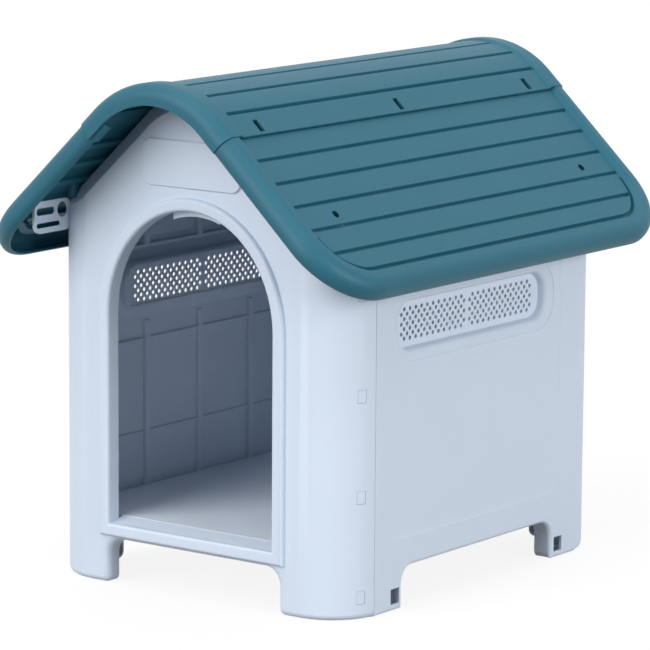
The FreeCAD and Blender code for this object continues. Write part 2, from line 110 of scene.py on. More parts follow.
class DogHouseWalls(bpy.types.PropertyGroup):
    """Sizes of the white body."""
    corner_radius: length("Corner radius", "Rounding of the upright body corners", 71.5 * MM)
    wall: length("Wall", "Thickness of the moulded sheet", 4 * MM)
    eave_bevel: length("Upper bevel", "Width of the bevelled edge under the roof", 22 * MM)
    door_half: length("Doorway half width", "Half the clear width of the doorway", 130 * MM)
    door_sill: length("Sill height", "Height of the doorway's sill", 80 * MM)
    door_spring: length("Arch spring", "Height where the doorway's arch begins", 351.6 * MM)
    door_rise: length("Arch rise", "Height of the arch above its spring", 142 * MM)
    trim_width: length("Trim width", "Width of the raised trim round the doorway", 16.5 * MM)
    trim_rounding: length("Trim rounding", "Rounding of the trim's front edges", 4.5 * MM)
    jamb_depth: length("Jamb depth", "From the front of the trim to the back of the jamb", 21 * MM)
    sill_depth: length("Sill depth", "From the front of the trim to the back of the sill", 29 * MM)
    gap_half: length("Front gap half width", "Half the space between the front feet", 136 * MM)
    gap_top: length("Front gap height", "Height of the space between the front feet", 58 * MM)
    side_gap_half: length("Side gap half length", "Half the space between the side feet", 168 * MM)
    side_gap_top: length("Side gap height", "Height of the space between the side feet", 52 * MM)
    gap_rounding: length("Gap rounding", "Rounding of the upper corners between the feet", 22 * MM)
    foot_depth: length("Foot depth", "Depth of the side feet behind the wall's face", 26 * MM)
    field_depth: length("Field depth", "Depth of the pressed field on the side walls", 1.3 * MM)
    vent_depth: length("Vent depth", "Depth of the perforated bed behind the wall's face", 16 * MM)
    hole_radius: length("Vent hole radius", "Radius of one vent hole", 2.8 * MM)


class DogHouseRoof(bpy.types.PropertyGroup):
    """Sizes of the roof."""
    top: length("Roof top", "Height of the planks along the ridge", 656.6 * MM)
    ridge_radius: length("Ridge radius", "Radius of the rounded ridge", 138 * MM)
    slope: bpy.props.FloatProperty(
        name="Slope", description="Fall of the roof", default=math.radians(43.1), subtype="ANGLE")
    sheet: length("Sheet", "Thickness of the roof sheet", 4 * MM)
    plank_pitch: length("Plank pitch", "Distance between plank grooves", 37.7 * MM)
    groove_width: length("Groove width", "Width of a plank groove", 5.4 * MM)
    groove_depth: length("Groove depth", "Depth of a plank groove", 5 * MM)
    rim_rise: length("Cap rim rise", "The cap's rims stand this much above its planks", 3.3 * MM)
    panel_rim_rise: length("Panel rim rise", "The panels' rims stand this much above their planks", 6.2 * MM)
    panel_reach: length("Panel reach", "From the middle to the front of a panel's rim", 373 * MM)
    rim_drop: length("Rim drop", "Rims hang this much below the planks", 24 * MM)
    roll_radius: length("Rim roll", "Radius of the rolled rim", 18 * MM)
    corner_radius: length("Eave corner", "Rounding of the lower corners along the slope", 93 * MM)
    eave_end: length("Eave end", "From the ridge down the planks to the eave's edge", 384.8 * MM)


class DogHouseColours(bpy.types.PropertyGroup):
    """Colours of the mouldings."""
    wall: colour("Wall", "Pale moulded polypropylene of the body", "#d2deee")
    floor: colour("Floor", "Moulded polypropylene of the floor", "#e8f0ff")
    roof: colour("Roof", "Blue-green moulded polypropylene of the roof", "#256275")
    screw: colour("Screws", "Blackened steel of the roof fasteners", "#30363c")


def settle():
    """Object mode with nothing selected."""
    if bpy.context.object is not None and bpy.context.object.mode != "OBJECT":
        bpy.ops.object.mode_set(mode="OBJECT")
    bpy.ops.object.select_all(action="DESELECT")


def take(piece):
    """Make a piece the only selected and active one."""
    settle()
    piece.select_set(True)
    bpy.context.view_layer.objects.active = piece


def shape(piece):
    """Open a piece in edit mode."""
    take(piece)
    bpy.ops.object.mode_set(mode="EDIT")


def fix_place(piece, name):
    """Put the place, turn and size of a new primitive into its mesh."""
    piece.name = name
    take(piece)
    bpy.ops.object.transform_apply(location=True, rotation=True, scale=True)
    return piece


def block(name, low, high):
    """Box between two corners."""
    settle()
    low, high = Vector(low), Vector(high)
    bpy.ops.mesh.primitive_cube_add(size=1, location=(low + high) / 2)
    piece = bpy.context.object
    piece.scale = high - low
    return fix_place(piece, name)


def rod(name, radius, low, high, sides, turn=(0, 0, 0)):
    """Cylinder between two points that lie along its turned axis."""
    settle()
    low, high = Vector(low), Vector(high)
    bpy.ops.mesh.primitive_cylinder_add(
        vertices=sides, radius=radius, depth=(high - low).length, location=(low + high) / 2, rotation=turn)
    return fix_place(bpy.context.object, name)


def pick(piece, kind, test):
    """Select, in edit mode, the vertices, edges or faces that pass a test of place or normal."""
    bpy.ops.mesh.select_mode(type=kind)
    bpy.ops.mesh.select_all(action="DESELECT")
    mesh = bmesh.from_edit_mesh(piece.data)
    mesh.normal_update()
    items = {"VERT": mesh.verts, "EDGE": mesh.edges, "FACE": mesh.faces}[kind]
    chosen = [item for item in items if test(item)]
    if not chosen:
        raise RuntimeError(piece.name + ": nothing there to shape")
    for item in chosen:
        item.select_set(True)
    bmesh.update_edit_mesh(piece.data)


def pick_all():
    """Select the whole of the open piece."""
    bpy.ops.mesh.select_all(action="SELECT")


def middle(item):
    """Middle of an edge or face."""
    return sum((vert.co for vert in item.verts), Vector()) / len(item.verts)


def level(item, axis, value):
    """Whether every vertex of an edge or face lies at one value of an axis."""
    return all(abs(vert.co[axis] - value) < NEAR for vert in item.verts)


def span(item, axis):
    """How far an edge or face reaches along an axis."""
    places = [vert.co[axis] for vert in item.verts]
    return max(places) - min(places)


def is_sharp(edge):
    """Whether an edge is a corner of the moulding."""
    return edge.is_manifold and edge.calc_face_angle() > SHARP


def slice_off(point, normal, fill=False):
    """Cut away all that lies on the normal's side of a plane, in edit mode."""
    pick_all()
    bpy.ops.mesh.bisect(plane_co=point, plane_no=normal, use_fill=fill, clear_outer=True)


def score(point, normal):
    """Cut an edge line through the selected faces, in edit mode."""
    bpy.ops.mesh.bisect(plane_co=point, plane_no=normal)


def round_off(radius, segments):
    """Round the selected edges, in edit mode."""
    bpy.ops.mesh.bevel(offset=radius, segments=segments, affect="EDGES", clamp_overlap=False)


def soften(piece, test, radius, segments=3):
    """Round the sharp edges that pass a test, in edit mode."""
    pick(piece, "EDGE", lambda edge: is_sharp(edge) and test(edge))
    round_off(radius, segments)


def draw_out(way):
    """Extrude what is selected, in edit mode."""
    bpy.ops.mesh.extrude_region_move(TRANSFORM_OT_translate={"value": way})


def drop_faces(piece, test):
    """Delete the faces that pass a test, in edit mode."""
    pick(piece, "FACE", test)
    bpy.ops.mesh.delete(type="FACE")


def face_outwards():
    """Point every face of the open piece outwards, and leave edit mode."""
    pick_all()
    bpy.ops.mesh.normals_make_consistent(inside=False)
    settle()


def finish_with(piece, kind, **settings):
    """Add a modifier and apply it."""
    take(piece)
    modifier = piece.modifiers.new(kind, kind)
    for name, value in settings.items():
        setattr(modifier, name, value)
    bpy.ops.object.modifier_apply(modifier=modifier.name)


def carve(piece, cutter, operation="DIFFERENCE"):
    """Cut a shape out of a piece, or weld it on, and use the shape up."""
    finish_with(piece, "BOOLEAN", object=cutter, operation=operation, solver="EXACT")
    bpy.data.meshes.remove(cutter.data)
    if not piece.data.polygons:
        raise RuntimeError(piece.name + ": the cut left nothing")


def join(pieces):
    """Join pieces into the first one."""
    take(pieces[0])
    for piece in pieces:
        piece.select_set(True)
    bpy.ops.object.join()
    return pieces[0]


def copy_of(piece, name, matrix):
    """Copy with its own mesh, moved by a matrix that is put into the mesh."""
    take(piece)
    bpy.ops.object.duplicate(linked=False)
    copy = bpy.context.object
    copy.matrix_world = matrix
    return fix_place(copy, name)


def mirrored(piece, name, across):
    """Mirror image of a piece on the other side of the house."""
    copy = copy_of(piece, name, Matrix.Scale(-1, 4, Vector(across)))
    shape(copy)
    face_outwards()
    return copy


def slant(piece, axis, place, top, fall):
    """Lower a block's top edge at one place of an axis, which makes a ramp of it."""
    shape(piece)
    pick(piece, "EDGE", lambda edge: level(edge, axis, place) and level(edge, Z, top))
    bpy.ops.transform.translate(value=(0, 0, -fall))
    settle()


def rounded_slab(name, half_length, half_height, rounding, thickness, place, turn, segments=8):
    """Slab with four rounded corners, made along X, Y and Z, then turned and placed."""
    half = Vector((half_length, half_height, thickness / 2))
    piece = block(name, -half, half)
    shape(piece)
    pick(piece, "EDGE", lambda edge: span(edge, Z) > thickness / 2)
    round_off(rounding, segments)
    settle()
    piece.rotation_euler = turn
    piece.location = place
    return fix_place(piece, name)


def hand_over(piece, node, body, material):
    """Let a finished piece stand for its CAD node."""
    take(piece)
    bpy.ops.object.shade_smooth_by_angle(angle=SHARP)
    finish_with(piece, "WEIGHTED_NORMAL", keep_sharp=True)
    piece.data.materials.clear()
    piece.data.materials.append(material)
    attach(piece, body)
    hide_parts(node)


def add_node(tree, kind, fields=None, values=None, links=None):
    """Add a shader node with its fields, constant sockets and links."""
    node = tree.nodes.new("ShaderNode" + kind)
    for name, value in (fields or {}).items():
        setattr(node, name, value)
    for name, value in (values or {}).items():
        node.inputs[name].default_value = value
    for name, (source, output) in (links or {}).items():
        tree.links.new(source.outputs[output], node.inputs[name])
    return node


def fresh_material(name):
    """New node material and its empty tree."""
    material = bpy.data.materials.new(name)
    material.use_nodes = True
    material.node_tree.nodes.clear()
    return material, material.node_tree


def moulded_plastic(name, tint, roughness, grain, grain_height, shift):
    """Moulded polypropylene: satin, with the mould's sparked grain, faint flow marks and slow sink waves."""
    known = bpy.data.materials.get(name)
    if known is not None:
        return known
    # A real sparked grain is about 0.2 mm across. It is drawn some ten times coarser, so that it shows.
    flow_size = 90 * MM
    sink_size = 60 * MM
    sink_height = 0.25 * MM
    gloss_spread = 0.05
    material, tree = fresh_material(name)
    place = add_node(tree, "TexCoord")
    on_object = {"Vector": (place, "Object")}
    flow = add_node(tree, "TexNoise", values={"Scale": 1 / flow_size, "Detail": 3.0}, links=on_object)
    darker = [channel * (1 - shift) for channel in tint]
    lighter = [min(1.0, channel * (1 + shift)) for channel in tint]
    shade = add_node(tree, "Mix", {"data_type": "RGBA"},
                     {COLOUR_A: (*darker, 1), COLOUR_B: (*lighter, 1)}, {"Factor": (flow, "Fac")})
    spark = add_node(tree, "TexNoise",
                     values={"Scale": 1 / grain, "Detail": 2.0, "Roughness": 0.6}, links=on_object)
    sink = add_node(tree, "TexNoise", values={"Scale": 1 / sink_size, "Detail": 1.0}, links=on_object)
    waves = add_node(tree, "Bump", values={"Strength": 0.25, "Distance": sink_height},
                     links={"Height": (sink, "Fac")})
    skin = add_node(tree, "Bump", values={"Strength": 0.5, "Distance": grain_height},
                    links={"Height": (spark, "Fac"), "Normal": (waves, "Normal")})
    gloss = add_node(tree, "MapRange",
                     values={"From Min": 0.3, "From Max": 0.7,
                             "To Min": roughness - gloss_spread, "To Max": roughness + gloss_spread},
                     links={"Value": (spark, "Fac")})
    surface = add_node(tree, "BsdfPrincipled", values={"IOR": 1.49, "Specular IOR Level": 0.3},
                       links={"Base Color": (shade, COLOUR_RESULT), "Roughness": (gloss, "Result"),
                              "Normal": (skin, "Normal")})
    add_node(tree, "OutputMaterial", links={"Surface": (surface, "BSDF")})
    return material


def wall_plastic(context):
    """Natural white polypropylene with a cool tint: satin, soft highlights, nearly even colour."""
    return moulded_plastic("Moulded white polypropylene", context.scene.dog_house_colours.wall,
                           roughness=0.46, grain=2.2 * MM, grain_height=0.05 * MM, shift=0.02)


def roof_plastic(context):
    """Pigmented polypropylene: satin, with a coarser grain and faint clouding of the pigment."""
    return moulded_plastic("Moulded blue-green polypropylene", context.scene.dog_house_colours.roof,
                           roughness=0.48, grain=2.6 * MM, grain_height=0.06 * MM, shift=0.05)


def floor_plastic(context):
    """White polypropylene with the matt face of a floor moulding."""
    return moulded_plastic("Matt white polypropylene", context.scene.dog_house_colours.floor,
                           roughness=0.58, grain=3.0 * MM, grain_height=0.08 * MM, shift=0.03)


def screw_steel(context):
    """Blackened steel: dark metal with fine mottled gloss."""
    mottle = 0.8 * MM
    material, tree = fresh_material("Blackened steel")
    place = add_node(tree, "TexCoord")
    marks = add_node(tree, "TexNoise", values={"Scale": 1 / mottle, "Detail": 3.0},
                     links={"Vector": (place, "Object")})
    gloss = add_node(tree, "MapRange", values={"To Min": 0.3, "To Max": 0.5},
                     links={"Value": (marks, "Fac")})
    surface = add_node(tree, "BsdfPrincipled",
                       values={"Base Color": (*context.scene.dog_house_colours.screw, 1), "Metallic": 1.0},
                       links={"Roughness": (gloss, "Result")})
    add_node(tree, "OutputMaterial", links={"Surface": (surface, "BSDF")})
    return material


def seat_radius(roof):
    """Radius of the walls' rounded top, under the roof sheet's pressed grooves."""
    return roof.ridge_radius - 2 * roof.sheet - roof.groove_depth - FIT


def cut_gable(roof, inset=0, face_y=0, lean=0):
    """Cut a solid to the roof's slopes and ridge, or to a bevel that leans out from a face, in edit mode."""
    steps = 7
    radius = seat_radius(roof) - inset
    ridge = Vector((0, face_y, roof.top - roof.ridge_radius))
    for step in range(-steps, steps + 1):
        angle = roof.slope * step / steps
        outward = Vector((math.sin(angle), 0, math.cos(angle)))
        normal = math.cos(lean) * outward - math.sin(lean) * Vector((0, 1, 0))
        slice_off(ridge + radius * outward, normal, fill=True)


def end_solid(name, walls, roof):
    """Solid of an end wall at the front, with its rounded corners, gable and feet."""
    inner = front_y + 2 * walls.corner_radius
    bevel_lean = math.radians(46)
    gable_edge = 0.7 * MM
    gap_edge = 9.5 * MM
    foot_edge = 8 * MM
    piece = block(name, (-body_reach, front_y, 0), (body_reach, inner, roof.top))
    shape(piece)
    pick(piece, "EDGE", lambda edge: level(edge, Y, front_y) and span(edge, X) < NEAR)
    round_off(walls.corner_radius, segments=14)
    cut_gable(roof)
    cut_gable(roof, walls.eave_bevel, front_y, bevel_lean)
    soften(piece, lambda edge: level(edge, Y, front_y) and middle(edge).z > walls.gap_top,
           gable_edge, segments=2)
    settle()
    carve(piece, rounded_slab("gap", walls.gap_half, walls.gap_top, walls.gap_rounding,
                              4 * walls.corner_radius, (0, front_y, 0), FACING_FRONT))
    shape(piece)
    soften(piece, lambda edge: level(edge, Y, front_y) and middle(edge).z < walls.gap_top + NEAR
           and abs(middle(edge).x) < walls.gap_half + NEAR, gap_edge, segments=4)
    soften(piece, lambda edge: level(edge, Z, 0) and middle(edge).y < inner - NEAR, foot_edge, segments=4)
    settle()
    return piece


def roof_arms(walls):
    """Two plates on an end wall's upper corners under the overhang, each with two slots and a round hole."""
    x = body_reach - 27.5 * MM
    tip = front_y - 55 * MM
    root = front_y + 16 * MM
    top = 491.4 * MM
    half_height = 20.5 * MM
    hole_radius = 10 * MM
    hole_z = top - 14 * MM
    reach = 20 * MM
    upper_slot = (17.5 * MM, 4.7 * MM, -32.5 * MM, 13.4 * MM)
    lower_slot = (23 * MM, 3.2 * MM, -27 * MM, 31 * MM)
    arm = rounded_slab("arm", (root - tip) / 2, half_height, rounding=12 * MM, thickness=walls.wall,
                       place=(x, (tip + root) / 2, top - half_height), turn=FACING_SIDE)
    shape(arm)
    pick(arm, "FACE", lambda face: abs(face.normal.x) > MOSTLY)
    bpy.ops.mesh.inset(thickness=2.5 * MM, depth=-1 * MM, use_individual=True)
    settle()
    for half_length, half_slot, ahead, drop in (upper_slot, lower_slot):
        carve(arm, rounded_slab("slot", half_length, half_slot, 0.9 * half_slot, 2 * reach,
                                (x, ahead + front_y, top - drop), FACING_SIDE))
    carve(arm, rod("hole", hole_radius, (x - reach, front_y, hole_z), (x + reach, front_y, hole_z), sides=32,
                   turn=LYING_ALONG_X))
    return [arm, mirrored(arm, "arm", (1, 0, 0))]


def open_shell(piece, walls, cut_point, cut_normal):
    """Trim a solid's outer skin at a plane and give it the moulding's thickness."""
    slice_off(cut_point, cut_normal)
    settle()
    finish_with(piece, "SOLIDIFY", thickness=walls.wall, offset=-1, use_even_offset=False)


def clip_places():
    """Heights of the snap clips along a seam."""
    lowest = 28 * MM
    pitch = 126.5 * MM
    rows = 4
    return [lowest + pitch * row for row in range(rows)]


def clip_block(name, walls, room, inward, outward, z):
    """Block across the front right corner's skin where one clip sits, square to the skin."""
    ahead = 28.5 * MM
    half_width = (CLIP_WIDTH + room) / 2
    half_height = (CLIP_HEIGHT + room) / 2
    piece = block(name, (walls.corner_radius - inward, -half_width, -half_height),
                  (walls.corner_radius + outward, half_width, half_height))
    piece.rotation_euler = (0, 0, -math.asin(ahead / walls.corner_radius))
    piece.location = (body_reach - walls.corner_radius, front_y + walls.corner_radius, z)
    return fix_place(piece, name)


def cut_clip_windows(piece, walls):
    """Windows in both corners of an end wall where the side walls' clips come through."""
    windows = []
    for z in clip_places():
        window = clip_block("window", walls, room=0.6 * MM, inward=12 * MM, outward=4 * MM, z=z)
        windows += [window, mirrored(window, "window", (1, 0, 0))]
    carve(piece, join(windows))


def cut_screw_pockets(piece):
    """Openings in an end wall's upper flange for the roof's screw cups."""
    radius = 11.5 * MM
    low = screw_high.z - 5.8 * MM
    high = screw_high.z + 40 * MM
    pockets = [rod("pocket", radius, (x, -screw_y, low), (x, -screw_y, high), sides=24)
               for x in (screw_x, -screw_x)]
    carve(piece, join(pockets))


def clear_under_sill(piece, walls):
    """Cut the feet's cheeks and the sill's underside back to the depth of the sill."""
    half_width = 185 * MM
    below = -10 * MM
    carve(piece, block("behind", (-half_width, front_trim_y + walls.sill_depth, below),
                       (half_width, 0, walls.gap_top + 2 * walls.wall)))


def open_end_wall(piece, walls):
    """Make an end wall's solid a shell that takes the side walls' clips and the roof's screw cups."""
    open_shell(piece, walls, (0, -seam_end, 0), (0, 1, 0))
    cut_clip_windows(piece, walls)
    cut_screw_pockets(piece)
    clear_under_sill(piece, walls)


def door_form(name, walls, grow, near_y, far_y):
    """Solid with the doorway's outline, grown all round, between two depths."""
    settle()
    bpy.ops.mesh.primitive_circle_add(vertices=72, radius=1, fill_type="NGON")
    piece = bpy.context.object
    piece.scale = (walls.door_half + grow, walls.door_rise + grow, 1)
    fix_place(piece, name)
    shape(piece)
    slice_off((0, 0, 0), (0, -1, 0))
    pick(piece, "EDGE", lambda edge: level(edge, Y, 0))
    drop = walls.door_spring - walls.door_sill + grow
    draw_out((0, -drop, 0))
    pick_all()
    bpy.ops.mesh.dissolve_limited(angle_limit=math.radians(1))
    pick_all()
    draw_out((0, 0, far_y - near_y))
    face_outwards()
    piece.rotation_euler = FACING_FRONT
    piece.location = (0, far_y, walls.door_spring)
    return fix_place(piece, name)


def name_panel():
    """Blank raised panel on the gable."""
    thickness = 12 * MM
    face_y = front_y - 3 * MM
    centre_z = 551.25 * MM
    panel = rounded_slab("name_panel", half_length=78 * MM, half_height=29.75 * MM, rounding=14 * MM,
                         thickness=thickness, place=(0, face_y + thickness / 2, centre_z), turn=FACING_FRONT)
    shape(panel)
    soften(panel, lambda edge: level(edge, Y, face_y), radius=2.2 * MM)
    settle()
    return panel


def arch_tab(walls, roof, jamb_y):
    """Tab that hangs from the top of the arch at the back of the jamb."""
    drop = 8 * MM
    half_width = 37 * MM
    tab = door_form("hanger", walls, walls.wall / 2, jamb_y - walls.wall, jamb_y)
    carve(tab, door_form("hanger_room", walls, -drop, front_trim_y, 0))
    ends = block("hanger_ends", (-half_width, front_trim_y, walls.door_spring), (half_width, 0, roof.top))
    carve(tab, ends, "INTERSECT")
    return tab


def sill_ramp(walls):
    """Wedge on the sill that rises towards the cabin."""
    near_y = front_y + 2 * MM
    low = walls.door_sill - 1 * MM
    high = walls.door_sill + 5.6 * MM
    fall = 5.4 * MM
    ramp = block("sill_ramp", (-walls.door_half, near_y, low),
                 (walls.door_half, front_trim_y + walls.sill_depth, high))
    slant(ramp, Y, near_y, high, fall)
    return ramp


class DOGHOUSE_OT_front_wall(bpy.types.Operator):
    """Front wall with its doorway, trim, jamb, blank name panel and feet"""
    bl_idname = "dog_house.front_wall"
    bl_label = "Front wall"

    def execute(self, context):
        walls = context.scene.dog_house_walls
        roof = context.scene.dog_house_roof
        jamb_y = front_trim_y + walls.jamb_depth
        trim_root = front_y + 8 * MM
        before_trim = front_trim_y - 10 * MM
        piece = end_solid("front_wall_moulding", walls, roof)
        carve(piece, door_form("trim", walls, walls.trim_width, front_trim_y, trim_root), "UNION")
        carve(piece, name_panel(), "UNION")
        carve(piece, door_form("opening", walls, 0, before_trim, jamb_y))
        shape(piece)
        soften(piece, lambda edge: level(edge, Y, front_trim_y), walls.trim_rounding, segments=4)
        drop_faces(piece, lambda face: level(face, Y, jamb_y) and face.normal.y < -MOSTLY)
        open_end_wall(piece, walls)
        join([piece, arch_tab(walls, roof, jamb_y), sill_ramp(walls)] + roof_arms(walls))
        hand_over(piece, "front_wall", "house", wall_plastic(context))
        return {"FINISHED"}


def field_plug(walls, half_length, half_height, rounding, place, turn, inward):
    """Plug that presses a shallow field with a broad soft edge into a wall's face at a place."""
    thickness = 20 * MM
    graze = 0.1 * MM
    inward = Vector(inward)
    plug = rounded_slab("field", half_length, half_height, rounding, thickness,
                        Vector(place) + (graze - thickness / 2) * inward, turn)
    shape(plug)
    pick(plug, "FACE", lambda face: face.normal.dot(inward) > MOSTLY)
    bpy.ops.mesh.inset(thickness=9 * MM, depth=walls.field_depth - graze)
    settle()
    return plug


class DOGHOUSE_OT_back_wall(bpy.types.Operator):
    """Back wall with a pressed field and feet"""
    bl_idname = "dog_house.back_wall"
    bl_label = "Back wall"

    def execute(self, context):
        walls = context.scene.dog_house_walls
        piece = end_solid("back_wall_moulding", walls, context.scene.dog_house_roof)
        carve(piece, field_plug(walls, half_length=135 * MM, half_height=165 * MM,
                                rounding=walls.gap_rounding, place=(0, front_y, 270 * MM),
                                turn=FACING_FRONT, inward=(0, 1, 0)))
        shape(piece)
        open_end_wall(piece, walls)
        join([piece] + roof_arms(walls))
        piece.matrix_world = HALF_TURN
        fix_place(piece, "back_wall_moulding")
        hand_over(piece, "back_wall", "house", wall_plastic(context))
        return {"FINISHED"}


def vent_plug(walls):
    """Stepped plug that presses the vent: a sloped band, then a steep step down to the bed."""
    face_x = body_reach - walls.field_depth
    mouth = 1 * MM
    band_depth = 5 * MM
    thickness = 12 * MM
    plug = rounded_slab("vent", half_length=176 * MM, half_height=44 * MM, rounding=38 * MM,
                        thickness=thickness, place=(face_x - mouth + thickness / 2, VENT_Y, VENT_Z),
                        turn=FACING_SIDE, segments=10)
    shape(plug)
    pick(plug, "FACE", lambda face: face.normal.x < -MOSTLY)
    bpy.ops.mesh.inset(thickness=13 * MM, depth=band_depth)
    bpy.ops.mesh.inset(thickness=2 * MM, depth=walls.vent_depth - band_depth - mouth)
    soften(plug, lambda edge: level(edge, X, face_x - mouth - band_depth), radius=4 * MM, segments=4)
    soften(plug, lambda edge: level(edge, X, face_x - walls.vent_depth), radius=1.5 * MM)
    settle()
    return plug


def vent_bed_recess(walls):
    """Block that thins the vent's bed from behind."""
    back = body_reach - walls.field_depth - walls.vent_depth - walls.wall
    half_length = 156 * MM
    half_height = 25 * MM
    return block("thin_bed", (back - 3 * MM, VENT_Y - half_length, VENT_Z - half_height),
                 (back + 2.4 * MM, VENT_Y + half_length, VENT_Z + half_height))


def vent_holes(walls):
    """Staggered rows of round punches, with the middle column left out."""
    pitch = 12.44 * MM
    row_pitch = 6.2 * MM
    rows = 7
    columns = 11
    inside = body_reach - 40 * MM
    outside = body_reach + 10 * MM
    first = rod("punch", walls.hole_radius, (inside, 0, 0), (outside, 0, 0), sides=12, turn=LYING_ALONG_X)
    punches = []
    for row in range(rows):
        odd = row % 2
        z = VENT_Z + (row - (rows - 1) / 2) * row_pitch
        for column in range(columns + odd):
            reach = (column + 1 - odd / 2) * pitch
            for y in (-reach, reach):
                punches.append(copy_of(first, "punch", Matrix.Translation((0, y + VENT_Y, z))))
    return join([first] + punches)


def foot_windows(walls):
    """Square windows through the feet of a side wall."""
    half_width = 9.25 * MM
    low = 8.5 * MM
    high = 28.5 * MM
    windows = []
    for side in (-1, 1):
        y = side * (walls.side_gap_half + 16.25 * MM)
        windows.append(block("window", (body_reach - 10 * MM, y - half_width, low),
                             (body_reach + 5 * MM, y + half_width, high)))
    return join(windows)


def side_tongue(walls):
    """Curved strip behind the front seam, with its clip heads."""
    outer = body_reach - walls.wall - FIT
    inner = outer - 3 * MM
    low = 12 * MM
    high = 420 * MM
    back = -seam_end + 17 * MM
    wrap = math.radians(36)
    centre = (body_reach - walls.corner_radius, front_y + walls.corner_radius, 0)
    strip = block("tongue", (inner, centre[Y], low), (outer, back, high))
    shape(strip)
    pick(strip, "FACE", lambda face: face.normal.y < -MOSTLY)
    bpy.ops.mesh.spin(steps=8, angle=wrap, center=centre, axis=(0, 0, 1))
    pick_all()
    bpy.ops.mesh.remove_doubles(threshold=0.01 * MM)
    face_outwards()
    heads = []
    for z in clip_places():
        head = clip_block("head", walls, room=0, inward=8 * MM, outward=-0.25 * MM, z=z)
        finish_with(head, "BEVEL", width=0.6 * MM, segments=2)
        heads.append(head)
    return join([strip] + heads)


def side_ribs(walls):
    """Upright and level ribs inside a side wall, and the ledge that carries the floor."""
    inner = body_reach - walls.wall
    root = inner + 1 * MM
    upright_depth = 7 * MM
    upright_half = 4.5 * MM
    level_depth = 5 * MM
    level_half = 2 * MM
    level_reach = 205 * MM
    ledge_depth = 18 * MM
    ledge_low = 76 * MM
    ledge_high = 82 * MM
    ribs = []
    for y in (-127 * MM, -15 * MM, 97 * MM):
        for low, high in ((60 * MM, 306 * MM), (406 * MM, 476 * MM)):
            ribs.append(block("rib", (inner - upright_depth, y - upright_half, low),
                              (root, y + upright_half, high)))
    for z in (156 * MM, 281 * MM, 406 * MM):
        ribs.append(block("rib", (inner - level_depth, -level_reach, z - level_half),
                          (root, level_reach, z + level_half)))
    ribs.append(block("ledge", (inner - ledge_depth, -walls.side_gap_half, ledge_low),
                      (root, walls.side_gap_half, ledge_high)))
    for rib in ribs:
        finish_with(rib, "BEVEL", width=1.8 * MM, segments=3)
    return ribs


class DOGHOUSE_OT_side_walls(bpy.types.Operator):
    """Two side walls with field, vent, ribs, seam tongues and feet"""
    bl_idname = "dog_house.side_walls"
    bl_label = "Side walls"

    def execute(self, context):
        walls = context.scene.dog_house_walls
        roof = context.scene.dog_house_roof
        end = seam_end - FIT
        deep = body_reach - 60 * MM
        field_x = body_reach - walls.field_depth
        vent_half = 45 * MM
        piece = block("right_wall_moulding", (deep, -end, 0), (body_reach, end, roof.top))
        shape(piece)
        cut_gable(roof)
        settle()
        carve(piece, rounded_slab("gap", walls.side_gap_half, walls.side_gap_top, walls.gap_rounding,
                                  thickness=200 * MM, place=(body_reach, 0, 0), turn=FACING_SIDE))
        carve(piece, field_plug(walls, half_length=193 * MM, half_height=162 * MM, rounding=18 * MM,
                                place=(body_reach, -10.5 * MM, 251 * MM), turn=FACING_SIDE,
                                inward=(-1, 0, 0)))
        carve(piece, vent_plug(walls))
        shape(piece)
        soften(piece, lambda edge: level(edge, X, body_reach) and abs(middle(edge).y) < end - NEAR
               and middle(edge).z < walls.side_gap_top + NEAR, radius=6 * MM)
        soften(piece, lambda edge: level(edge, Z, 0) and abs(middle(edge).y) < end - NEAR
               and middle(edge).x > deep + NEAR, radius=9 * MM, segments=4)
        soften(piece, lambda edge: level(edge, X, field_x) and abs(middle(edge).z - VENT_Z) < vent_half,
               radius=0.9 * MM)
        drop_faces(piece, lambda face: level(face, X, deep) or level(face, Y, end) or level(face, Y, -end))
        open_shell(piece, walls, (body_reach - walls.foot_depth, 0, 0), (-1, 0, 0))
        carve(piece, vent_bed_recess(walls))
        carve(piece, vent_holes(walls))
        carve(piece, foot_windows(walls))
        tongue = side_tongue(walls)
        join([piece, tongue, mirrored(tongue, "tongue", (0, 1, 0))] + side_ribs(walls))
        other = copy_of(piece, "left_wall_moulding", HALF_TURN)
        hand_over(piece, "right_wall", "house", wall_plastic(context))
        hand_over(other, "left_wall", "house", wall_plastic(context))
        return {"FINISHED"}


class DOGHOUSE_OT_floor(bpy.types.Operator):
    """Finish of the floor panel, whose CAD shape stays"""
    bl_idname = "dog_house.floor"
    bl_label = "Floor"

    def execute(self, context):
        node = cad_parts["floor_panel"]
        node.data.materials.clear()
        node.data.materials.append(floor_plastic(context))
        return {"FINISHED"}


def rimmed_sheet(name, roof, start, end, reach_y, rise, corner, field_margin, step, lip):
    """Unrolled roof sheet: X runs down the slope, Y along the ridge, and Z up from the planks."""
    piece = block(name, (start, -reach_y, -roof.rim_drop), (end, reach_y, rise))
    shape(piece)
    if corner > 0:
        pick(piece, "EDGE", lambda edge: level(edge, X, end) and span(edge, Y) < NEAR)
        round_off(corner, segments=16)
    if lip > 0:
        pick(piece, "EDGE", lambda edge: level(edge, Z, -roof.rim_drop))
        round_off(lip, segments=5)
    drop_faces(piece, lambda face: face.normal.z < -FLAT)
    pick(piece, "EDGE", lambda edge: level(edge, Z, rise))
    round_off(roof.roll_radius, segments=7)
    pick(piece, "FACE", lambda face: face.normal.z > FLAT)
    bpy.ops.mesh.inset(thickness=field_margin - roof.roll_radius - step)
    bpy.ops.mesh.inset(thickness=step, depth=-rise)
    return piece


